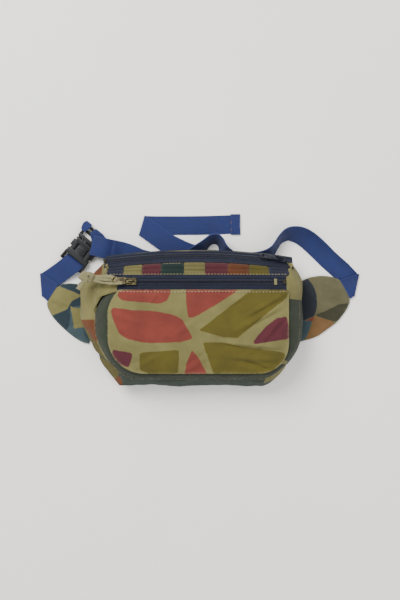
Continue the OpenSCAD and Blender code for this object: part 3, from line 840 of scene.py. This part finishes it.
PANEL_MIDDLE = np.array([7, -14, 0])
BACK_MIDDLE = np.array([0, -9, 0])
PANEL_CREASES = [
    ((115, 33), (58, 0), 2.6, 2.6), ((112, 20), (44, -18), 2.4, 3.2),
    ((113, 27), (66, -2), 1.6, 2.0), ((112, 8), (78, -32), 1.8, 2.8),
    ((114, -34), (20, -25), 2.6, 2.6), ((106, -48), (34, -43), 2.1, 3.2),
    ((98, -58), (56, -42), 1.9, 2.6),
    ((-92, 31), (-26, 26), 1.3, 3.2), ((-96, 8), (-52, -8), 1.2, 3.4),
    ((-24, -22), (20, 8), 1.1, 3.8), ((-72, -60), (-30, -38), 1.3, 3.2),
    ((-12, -63), (28, -38), 1.3, 3.0), ((14, 33), (74, 18), 1.3, 3.2),
    ((-38, 34), (-54, 12), 0.9, 2.8), ((-90, -20), (-54, -36), 1.2, 3.2),
    ((70, 30), (30, 12), 0.9, 2.6), ((90, -20), (62, -44), 1.0, 2.8)]


def panel_relief(p, warp, weft, edge):
    soft = 1.1 * crumple(p, 34, 1) + 0.55 * crumple(p, 13, 2, (1.6, 1, 1))
    pucker = 0.32 * np.sin(p[..., 0] * 0.75 + 2 * crumple(p, 20, 3)) * np.exp(-edge / 4.5)
    folds = sum(crease(p, *c) for c in PANEL_CREASES)
    inset = np.clip(edge / 5, 0, 1)
    return (soft + folds) * inset + pucker + rolled(edge, 1.2, 2.4)


def make_front_panel():
    piece = disc(seam_points(PANEL_SEAM, 1.9), PANEL_MIDDLE, np.linspace(1, 0.02, 58),
                 lambda k: 0.4 + 7.4 * (1 - k ** 4), 0.8, False, panel_relief)
    make("front_pocket_panel", piece, "panel", "pack", ["front_panel"],
         [PANEL_BRICK, PANEL_MUSTARD, PANEL_MAROON])
    return piece


# ---- Bands and gussets ----


def band_relief(p, warp, weft, edge):
    crush = 0.8 * crumple(p, 11, 21, (1, 1, 1.5)) + 0.4 * crumple(p, 5, 22)
    return crush * np.clip(edge / 3.5, 0, 1) + rolled(edge, 1.3, 2.2)


def make_bands():
    for name, a, b, look, prints in (
            ("pocket_band_left", 1.6, LEFT_JOIN, "band", ()),
            ("pocket_band_bottom", LEFT_JOIN, RIGHT_JOIN, "band", ()),
            ("pocket_band_right", RIGHT_JOIN, 26.4, "band_right", [BAND_RIGHT_GREY])):
        columns = []
        for u in ring_steps(a, b, 2.0, POCKET_SEAM):
            outer, inner = ring(POCKET_SEAM, u), ring(PANEL_SEAM, u)
            columns.append([outer, (outer + inner) / 2 + (0, 0, 2.4), inner])
        piece = shell(lofted(columns, 13), 1.0, True, band_relief, worn_ends=False)
        make(name + "_cloth", piece, look, "pack", [name], prints)


# Where the side panels meet the ends of the main zip
LEFT_ZIP_END = np.array([-105.6, 61.8, 39.8])
RIGHT_ZIP_END = np.array([121.8, 61.5, 39.5])


def gusset_column(u):
    """Points from the back seam over the bulge to the front seam."""
    back, wide, front = ring(BACK_SEAM, u), ring(BULGE, u), ring(FRONT_SEAM, u)
    if u < 3.2:
        front = front + (LEFT_ZIP_END - front) * min((3.2 - u) / 1.6, 1)
    if u > 23.2:
        front = front + (RIGHT_ZIP_END - front) * min((u - 23.2) / 1.6, 1)
    return [back, back * 0.35 + wide * 0.65 - (0, 0, 4.8), wide,
            wide * 0.7 + front * 0.3 + (0, 0, 2.4), front]


def gusset_relief(seed, depth):
    def relief(p, warp, weft, edge):
        soft = depth * crumple(p, 30, seed) + 0.5 * depth * crumple(p, 11, seed + 1, (1, 1, 2))
        dent = -0.25 * depth * np.abs(crumple(p, 18, seed + 2, (2, 2, 1)))
        return (soft + dent) * np.clip(edge / 6, 0, 1) + rolled(edge, 1.4, 3)
    return relief


def gusset(a, b, seed, depth):
    columns = [gusset_column(u) for u in ring_steps(a, b, 2.4)]
    return shell(lofted(columns, 34), CLOTH_T, True, gusset_relief(seed, depth), worn_ends=False)


def cheek(outer, inner, seed, flip):
    """Cloth from a side panel's front seam to the ends of the zips."""
    n = 26
    left = [spline(outer, t) for t in np.linspace(0, len(outer) - 1, n)]
    right = [spline(inner, t) for t in np.linspace(0, len(inner) - 1, n)]
    grid = []
    for k in range(12):
        f = k / 11
        lift = 1.6 * math.sin(math.pi * f)
        grid.append([a + (b - a) * f + (0, 0, lift) for a, b in zip(left, right)])
    return shell(grid, CLOTH_T, flip, gusset_relief(seed, 0.8))


def make_gussets():
    left_rim = [gusset_column(u)[-1] for u in (2.2, 3, 4, 5, 6, 6.15, 6.3, 6.52)]
    left_zip = [(-101.5, 61, 43), (-101, 53, 51.5), (-92, 51, 53.8), (-87, 46, 56.4),
                (-86.5, 38.5, 59.2), (-87.6, 31.4, 60.6), (-103, 29, 51), (-115.6, 9.4, 46.4)]
    right_rim = [gusset_column(u)[-1] for u in (24.8, 24, 23, 22, 21.4, 21, 20.97)]
    right_zip = [(115.5, 61, 43.5), (115, 53, 51), (112.5, 51, 53.6), (111.5, 46, 56),
                 (111.5, 39, 58.6), (113, 35, 60.3), (115.5, 32, 60)]
    left = join(gusset(1.9, LEFT_JOIN, 31, 1.6), cheek(left_rim, left_zip, 37, True))
    right = join(gusset(RIGHT_JOIN, 24.8, 51, 1.6), cheek(right_rim, right_zip, 57, False))
    for side, piece, slot, node, prints in (
            ("left_side", left, "khaki_canvas", "left_side_panel", [LEFT_RUST, LEFT_MUSTARD]),
            ("bottom", gusset(LEFT_JOIN, RIGHT_JOIN, 41, 1.8), "grey_canvas", "bottom_panel",
             [BOTTOM_MUSTARD, BOTTOM_RUST, BOTTOM_KHAKI]),
            ("right_side", right, "khaki_canvas", "right_side_panel", [RIGHT_GREY, RIGHT_DARK])):
        make(side + "_cloth", piece, side, "pack", [node], prints)


def make_back():
    """The panel between the main zip and the back seam, and the panel that faces the body."""
    columns = []
    for angle in np.linspace(*MAIN_SPAN, 92):
        edge = main_zip(angle, MAIN_HALF)
        foot = np.array([edge[0] * 0.95, BACK_SEAM[3], 1.4])
        columns.append([foot, (foot + edge) / 2 + (0, 3.0, -0.5), edge + (0, 0.6, 0.4)])
    piece = shell(lofted(columns, 22), CLOTH_T, relief=gusset_relief(61, 1.0))
    make("top_back_cloth", piece, "khaki", "pack", ["top_back_panel"])

    def relief(p, warp, weft, edge):
        return -0.5 * hump(edge, 7, 0.9) - 0.3 * np.abs(crumple(p, 24, 66))

    piece = disc(seam_points(BACK_SEAM, 3), BACK_MIDDLE, np.linspace(1, 0.02, 46),
                 lambda k: 0.9 * k ** 12, CLOTH_T, True, relief)
    make("back_cloth", piece, "khaki", "pack", ["back_panel"])


# ---- Patchwork strip ----

PATCHES = (("navy_left", "navy", 2), ("khaki_left", "khaki", 3), ("maroon_left", "maroon", 2),
           ("green", "green", 2), ("khaki_middle", "khaki", 3), ("maroon_right", "maroon", 2),
           ("orange", "rust", 2), ("mustard", "mustard", 2), ("navy_right", "navy", 2))
PATCH_X = (-101, -81, -59, -36.5, -9, 16, 43.5, 68.5, 92, 116)


def strip_point(x, t):
    """Point of the strip between the zips, t from its front edge to its back edge."""
    front = front_zip(x, ZIP_HALF + 0.4)
    angle = math.degrees(math.asin((x - MAIN_C[0]) / ARC_R))
    back = main_zip(angle, -ZIP_HALF - 2)
    middle = (front + back) / 2 + (0, 0.8, 1.4)
    return spline([front, middle, back], 2 * t)


def make_patches():
    made = []
    for k, (place, dye, puffs) in enumerate(PATCHES):
        xs = np.linspace(PATCH_X[k] + 0.1, PATCH_X[k + 1] - 0.1, 18)
        grid = [[strip_point(x, t) for x in xs] for t in np.linspace(0, 1, 30)]

        def relief(p, warp, weft, edge, puffs=puffs, seed=70 + k):
            t = warp / warp.max()
            tuck = 2.1 * np.sqrt(np.abs(np.sin(math.pi * puffs * t))) - 1.3
            soft = 0.5 * crumple(p, 9, seed, (2, 1, 1))
            ends = rolled(np.minimum(weft, weft.max() - weft), 0.7, 1.0)
            return (tuck + soft) * np.clip(np.minimum(t, 1 - t) * 9, 0, 1) + ends

        piece = shell(grid, 1.0, True, relief)
        make(f"patch_{place}_cloth", piece, f"patch_{dye}", "pack",
             [f"patch_{place}"])
        made.append(piece)
    return join(*made)


def make_stitches(panel, strip):
    """Topstitching along the front panel, along the patchwork strip and on its green piece."""
    panel_top = laid([(x, 32.2 + 0.2 * math.sin(x / 17)) for x in np.linspace(-86, 110, 260)],
                     panel, 0.4)
    strip_low = laid([strip_point(x, 0.085)[:2] for x in np.linspace(-99, 114, 260)], strip)
    green_top = laid([strip_point(x, 0.9)[:2] for x in np.linspace(-35, -11, 60)], strip)
    rows = [stitch_row(panel_top, 2.3, 1.7, 0.25), stitch_row(strip_low, 2.2, 1.6, 0.22),
            stitch_row(green_top, 1.7, 1.8, 0.25)]
    make("topstitching", join(*rows), "thread", "pack")


# ---- Wings ----

LEFT_WING = [(-126.5, -32), (-135, -31), (-145, -25.5), (-157, -16), (-168, -5.5),
             (-175.5, 3.5), (-180.5, 14), (-181, 20.5), (-171, 36), (-163, 42), (-152.5, 43.5),
             (-144, 42.5), (-126.5, 41)]
RIGHT_WING = [(126.5, 41), (145, 50.5), (160, 53), (173, 52), (183, 48.5), (190, 41),
              (194.5, 32), (197.5, 21), (192, 9), (181, -5), (169, -14), (155, -24), (126.5, -32)]
SEAM_Z = 2.5
WING_CREASES = {
    "left": [((-180, 20), (-146, 10), 0.8, 3.0), ((-150, 40), (-138, 10), 0.7, 3.0),
             ((-160, -12), (-140, -6), 0.6, 2.6)],
    "right": [((194, 6), (166, 30), 1.5, 3.6), ((190, 22), (160, 20), 0.7, 4.0),
              ((170, 50), (150, 24), 0.7, 4.0), ((176, -8), (150, -2), 0.6, 3.0)]}


def wing_piece(outline, side):
    """A foam-filled wing: a crowned upper face and a flat underside that meet at its seam."""
    shape = rounded(outline, 0.2, 1)
    ends = np.array(shape + shape[:1], float)
    run = lengths(ends[:, None, :], 0)[:, 0]
    spots = np.linspace(0, run[-1], int(run[-1] / 1.8), endpoint=False)
    rim = np.stack([np.interp(spots, run, ends[:, k]) for k in (0, 1)], 1)
    centre = rim.mean(0)
    rings = ([(k, 0.1 + 2.4 * k ** 14) for k in np.linspace(0.1, 1, 20)]
             + [(k, SEAM_Z + 4.6 * (1 - k ** 5)) for k in np.linspace(1, 0.05, 34)[1:]])
    grid = np.array([[[*(centre + (p - centre) * k), height] for p in rim]
                     for k, height in rings])
    lift = 0.9 * crumple(grid, 16, 81) + 0.4 * crumple(grid, 7, 82)
    lift += sum(crease(grid, *c) for c in WING_CREASES[side])
    grid[20:, :, 2] += (lift * np.clip((grid[..., 2] - SEAM_Z) / 2.5, 0, 1))[20:]
    n, m = grid.shape[:2]
    numbers = numbered(n, m, True)
    faces = skin(numbers)
    for row, middle, way in ((numbers[0], n * m, -1), (numbers[-1], n * m + 1, 1)):
        faces += [[*pair[::way], middle] for pair in zip(row.tolist(), row[1:].tolist())]
    piece = bare([*grid.reshape(-1, 3), grid[0].mean(0), grid[-1].mean(0)], faces)
    edge = np.abs(grid[..., 2] - SEAM_Z) * 2.2
    piece["edge"] = np.append(edge.reshape(-1), [9, 9])
    return piece


def make_wings():
    for side, outline, look, prints, root in (
            ("left", LEFT_WING, "left_wing", [LEFT_WING_DARK, LEFT_WING_KHAKI], -0.1225),
            ("right", RIGHT_WING, "right_wing",
             [RIGHT_WING_DEEP, RIGHT_WING_NAVY, RIGHT_WING_BRICK, RIGHT_WING_TEAL,
              RIGHT_WING_SAND], 0.1225)):
        names = [f"{side}_wing_{layer}" for layer in ("face", "foam", "back")]
        obj = make(f"{side}_wing_pad", wing_piece(outline, side), look, None,
                   names, prints)
        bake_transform(obj)


# ---- Webbing: a route is its middle line's points, with a tilt in degrees where it isn't flat ----

STRAP_W = 25
STRAP_T = 1.3
STRAP_STEP = 2.5
LOW_Z = 0.1
HIGH_Z = 3.4

LEFT_ROUTE = [(-144.4, 72.4, 3.4), (-145.2, 71.2, 6.6), (-148, 68, 7.9), (-154, 63.8, 7),
              (-163, 57.5, 3), (-172, 51.5, 0.4)]
BELT_ROUTE = [(-28, 69.5, 0.1), (-16, 69.5, 0.1), (-6, 70, 0.1, 2), (2, 76, 3, 20),
              (9, 84.5, 8.5, 48), (16, 92.2, 11.6, 66), (23.5, 97.8, 12.4, 66),
              (30, 98.6, 12.4, 63), (35.4, 95, 12.4, 68), (38.8, 88.5, 11.4, 68),
              (41.6, 81, 7.4, 46), (45.5, 74.5, 3, 20), (51, 70.6, 0.6, 4), (58, 69.5, 0.1),
              (72, 69.5, 0.1), (83, 71, 3, 14), (92, 76.5, 9, 44), (99, 84, 12, 66),
              (104, 91, 12.4, 71), (109, 98, 12, 68), (119, 104.5, 10.4, 54),
              (131, 103.8, 8.2, 38), (142, 98.5, 5.6, 24), (155.5, 87.5, 2.6, 10),
              (170.6, 73, 0.4), (187.5, 58, 0.1)]
BUCKLE_ROUTE = [(-124, 90.5, 13), (-116, 88.5, 12.9), (-107, 86.3, 12.2), (-97, 84.4, 7.2),
                (-87, 82.4, 3.6), (-76, 78.6, 3.4), (-64, 73.4, 3.4), (-52, 70.6, 3.4),
                (-42, 69.8, 3.4)]
TAIL_ROUTE = [(60, 116.8, 0.1), (50, 116.4, 0.1), (20, 115.4, 0.1), (-10, 115, 0.1),
              (-44, 115, 0.1)]
TAIL_BACK = [(-46, 104, 3.4), (-30.8, 93.4, 3.4), (-16, 85.8, 3.4), (-7, 81.8, 3.4),
             (3, 78.5, 3.4)]
BUCKLE_PLACE = (Matrix.Translation((-134.6, 86.4, 0.4))
                @ Matrix.Rotation(math.radians(50), 4, "Z"))


def strap_row(p, direction, tilt=0.0, half=STRAP_W / 2):
    """Left and right edge of webbing at p; direction points to the left edge."""
    d, t = math.radians(direction), math.radians(tilt)
    side = half * np.array([math.cos(d) * math.cos(t), math.sin(d) * math.cos(t), math.sin(t)])
    return np.array(p, float) + side, np.array(p, float) - side


def route_rows(route):
    """Rows along a smooth route. Its points are (x, y, z), with a tilt where it isn't flat."""
    route = [(*p, 0)[:4] for p in route]
    run = lengths(np.array(route, float)[:, None, :3], 0)[:, 0]
    spots = []
    for k in range(len(route) - 1):
        n = max(1, round((run[k + 1] - run[k]) / STRAP_STEP))
        spots += [k + i / n for i in range(n)]
    spots.append(len(route) - 1)
    line = np.array([spline(route, t) for t in spots])
    rows = []
    for k, (x, y, z, tilt) in enumerate(line):
        a, b = line[max(k - 1, 0)], line[min(k + 1, len(line) - 1)]
        heading = math.degrees(math.atan2(b[1] - a[1], b[0] - a[0]))
        rows.append(strap_row((x, y, max(z, LOW_Z)), heading + 90, max(tilt, 0)))
    return rows


def fold_rows(c, travel, crease_at, outward):
    """The turn of a flat fold over a crease."""
    r = (HIGH_Z - LOW_Z) / 2
    half = STRAP_W / 2 / abs(math.sin(math.radians(crease_at - travel)))
    out = np.array([math.cos(math.radians(outward)), math.sin(math.radians(outward)), 0])
    rows = []
    for angle in np.radians(np.linspace(0, 180, 13)):
        at = (np.array([c[0], c[1], LOW_Z + r * (1 - math.cos(angle))])
              + out * r * math.sin(angle))
        rows.append(strap_row(at, crease_at, 0, half))
    return rows


def filled(rows):
    """Rows with more between any two that lie further apart than the webbing's step."""
    full = [rows[0]]
    for (a0, a1), (b0, b1) in zip(rows, rows[1:]):
        n = max(1, round(np.linalg.norm((b0 + b1 - a0 - a1) / 2) / STRAP_STEP))
        full += [(a0 + (b0 - a0) * k / n, a1 + (b1 - a1) * k / n) for k in range(1, n + 1)]
    return full


def strap_relief(seed):
    def relief(p, warp, weft, edge):
        side = np.minimum(weft, weft.max(1, keepdims=True) - weft)
        selvage = 0.22 * hump(side, 1.2, 0.7) - 0.25 * np.exp(-side / 0.4)
        return selvage + 0.16 * crumple(p, 22, seed)
    return relief


def strap(rows, seed, flip=False):
    shares = np.linspace(0, 1, 21)
    grid = [[a + (b - a) * share for share in shares] for a, b in filled(rows)]
    return shell(grid, STRAP_T, flip, strap_relief(seed))


def tail_pieces():
    back = [(b, a) for a, b in route_rows(TAIL_BACK)]
    straight = route_rows(TAIL_ROUTE)
    for k, (a, b) in enumerate(straight):
        # The webbing is flat at its hem and cups a little beyond it
        scale = 1.03 - 0.09 * min(k / 5, 1)
        middle, half = (a + b) / 2 + (0, 0.5, 0), (a - b) / 2 * scale
        straight[k] = (middle + half, middle - half)
    rows = straight + fold_rows((-61.3, 115), 180, 253.3, 163.3) + back
    centre = [tuple((a + b) / 2 * MM) for a, b in rows]
    hem = [strap_row((x, 116.8, STRAP_T + 0.15), -90, 0, 12.9) for x in (60, 56, 52, 48.4)]
    return strap(rows, 91), strap(hem, 92), centre


def make_tail():
    """The belt's loose end, which has passed the buckle and lies folded above the pack."""
    main, hem, centre = tail_pieces()
    obj = make("loose_end", join(main, hem), "webbing", "pack",
               ["tail_strap"])
    marks = []
    for y, length in ((121, 5), (112.5, 5.5)):
        path = [(48.6 + 0.3 * math.sin(k), y - length * k / 6, 2.95) for k in range(7)]
        marks.append(stitch_row(path, 1.5, 0.5, 0.4))
    stitches = make("loose_end_stitches", join(*marks), "brown_thread", "pack")


def make_straps():
    left = (route_rows(LEFT_ROUTE) + fold_rows((-187, 41.3), 216, -85.6, 184.4)
            + [strap_row((-173.2, 31.5, HIGH_Z), -122)])
    right = (route_rows(BELT_ROUTE) + fold_rows((204.2, 41), -41.7, 78.1, -11.9)
             + [strap_row((190.8, 35.6, HIGH_Z), 118.5, 0, 13.5)])
    run = route_rows(BUCKLE_ROUTE)
    lower = [(a - (0, 0, STRAP_T + 0.2), b - (0, 0, STRAP_T + 0.2)) for a, b in run]
    # The upper layer is wider where it spreads over the ladder bar
    spread = np.array([[(-126, 105.5, 8), (-123, 80, 5)], [(-119, 111, 9), (-118, 78.4, 7)],
                       [(-110.5, 104.3, 9.4), (-112, 76.8, 8.6)]], float)
    upper = [*spread, *((a - (0, 0, 3.4), b - (0, 0, 3.4)) for a, b in run[6:10]), *run[12:]]
    # The turn round the bar's end: places along the buckle, heights and half widths
    turn = [[np.array(BUCKLE_PLACE @ Vector((x, y, z))) for y in (15 + half, 15 - half)]
            for x, z, half in ((17, 7.4, 3.2), (20.5, 8.4, 4.6), (23.4, 8.8, 5.4), (26, 8.2, 5.4),
                               (27.9, 6.3, 4.8), (28.3, 3.8, 4.2), (27.2, 1.8, 3.6),
                               (24.5, 1.5, 3.2))]
    to_left_wing = ((-0.154, 0.064, 0), (-0.186, 0.044, 0))
    to_right_wing = ((0.12, 0.098, 0), (0.19, 0.056, 0))
    to_buckle = ((-0.05, 0.07, 0), (-0.118, 0.089, 0))
    for name, piece, nodes, body, bend in (
            ("left_strap", strap(left, 93), ["left_strap_run", "left_strap_tip"],
             "left_wing", to_left_wing),
            ("belt", strap(right, 94), ["belt_run", "belt_right_tip"],
             "right_wing", to_right_wing),
            ("belt_to_buckle", join(strap(lower, 95, True), strap(turn, 97)), ["belt_left"],
             "buckle_male", to_buckle),
            ("tail_to_buckle", strap(upper, 96, True), ["tail_left"],
             "buckle_male", to_buckle)):
        obj = make(name, piece, "webbing", None, nodes)
        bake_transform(obj)


# ---- Buckle ----


def make_buckle():
    def part(name, piece, body, node):
        make(name, moved(piece, BUCKLE_PLACE), "plastic", body, [node],
             sharp=35)

    def bar(x, z, radius):
        return tube([(x, y, z) for y in (-15, -5, 5, 15)], radius, 16)

    half, lip, thick = 16.5, 1.7, 9.0
    plates = [((-14, -half + 1, z), (7, half - 1, z + lip)) for z in (0, thick - lip)]
    rim = [((-16.5, -half + 0.5, 0), (-13.9, half - 0.5, thick)),
           ((-26, -half, 1.5), (-16.4, -half + 3, thick - 1.5)),
           ((-26, half - 3, 1.5), (-16.4, half, thick - 1.5))]
    ribs = [((x, -4.2, thick - 0.3), (x + 1.1, 4.2, thick + 0.35)) for x in (-9, -6, -3)]
    slots = [((-8.5, y - 1.4, -2), (1.5, y + 1.4, 12)) for y in (-7.4, 7.4)]
    notches = [((-9.5, y - 2.6, -2), (4.5, y + 2.6, 12)) for y in (-15.5, 15.5)]
    female = join(solid(plates + rim + ribs, slots + notches, 0.5), bar(-24.4, 4.5, 1.9))
    part("buckle_socket", female, "pack", "buckle_female")
    ladder = [((8.4, -half + 0.5, 0.4), (12.8, half - 0.5, thick)),
              ((-12, -3.5, 2.3), (8.6, 3.5, 6.7)),
              ((12.6, -half, 1), (27, -half + 3, 7.4)), ((12.6, half - 3, 1), (27, half, 7.4)),
              ((7.2, 10.0, 2.2), (9, 14.6, 6.8)), ((7.2, -14.6, 2.2), (9, -10.0, 6.8))]
    male = join(solid(ladder, (), 0.55), bar(18.6, 3.7, 1.6), bar(25.2, 3.7, 1.8))
    part("buckle_ladder", male, "buckle_male", "buckle_male")
    for name, side in (("prong_upper", 1), ("prong_lower", -1)):
        low, high = sorted((side * 10.4, side * 14.4)), sorted((side * 13.8, side * 17))
        prong = solid([((-10, low[0], 2.1), (7.8, low[1], 6.9)),
                       ((-6, high[0], 2.1), (3, high[1], 6.9))], (), 0.6)
        part(name + "_plastic", prong, name, name)


# ---- Scene ----


def make_floor():
    mesh = bpy.data.meshes.new("floor")
    half = 3.0
    mesh.from_pydata([(-half, -half, 0), (half, -half, 0), (half, half, 0), (-half, half, 0)],
                     [], [(0, 1, 2, 3)])
    mesh.materials.append(floor_material())
    floor = bpy.data.objects.new("floor", mesh)
    bpy.context.scene.collection.objects.link(floor)


def make_looks():
    looks = {
        "webbing": webbing("blue_webbing"),
        "tape": tape("navy_tape"),
        "coil": thread("nylon_coil", NAVY),
        "thread": thread("cream_thread", CREAM),
        "brown_thread": thread("brown_thread", BROWN_THREAD),
        "khaki_thread": thread("khaki_thread", KHAKI),
        "brass": metal("aged_brass"),
        "painted": painted("navy_paint"),
        "plastic": plastic("buckle_plastic"),
        "strip": canvas("strip_cloth", PALE_KHAKI, (), 0.5),
        "panel": canvas("printed_panel", KHAKI, (BRICK, MUSTARD, MAROON)),
        "band": canvas("grey_band", GREY_GREEN, (), 0.75),
        "band_right": canvas("right_band", KHAKI, (GREY_GREEN,), 0.5),
        "left_side": canvas("left_side", KHAKI, (RUST, MUSTARD)),
        "right_side": canvas("right_side", KHAKI, (GREY_GREEN, DARK_GREEN)),
        "bottom": canvas("bottom", DARK_GREEN, (MUSTARD, RUST, KHAKI), 0.5),
        "khaki": canvas("khaki", KHAKI),
        "left_wing": canvas("left_wing", TEAL, (DARK_TEAL, KHAKI)),
        "right_wing": canvas("right_wing", OLIVE, (DEEP_OLIVE, SLATE, BRICK, TEAL, SAND)),
    }
    for dye, colour in (("khaki", dimmed(KHAKI)), ("navy", NAVY), ("maroon", dimmed(MAROON)),
                        ("green", BOTTLE), ("rust", dimmed(RUST)),
                        ("mustard", dimmed(MUSTARD))):
        looks[f"patch_{dye}"] = canvas(f"patch_{dye}", colour, (), 0.1)
    return looks


LOOKS = make_looks()


def dress_hidden_nodes():
    """Materials for the CAD solids that stay: those inside the pack and the zip stops."""
    for node, look in (("back_foam", inner_cloth("foam", FOAM)),
                       ("pocket_divider", inner_cloth("lining", GREY_GREEN)),
                       ("zip_stops", inner_cloth("stops", TARNISH))):
        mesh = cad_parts[node].data
        mesh.materials.clear()
        mesh.materials.append(look)


def main():
    make_camera()
    make_tail()
    make_straps()
    make_lights()
    make_floor()
    panel = make_front_panel()
    make_bands()
    make_gussets()
    make_back()
    make_zips()
    make_stitches(panel, make_patches())
    make_sliders()
    make_strip()
    make_wings()
    make_buckle()
    dress_hidden_nodes()
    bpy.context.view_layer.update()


main()
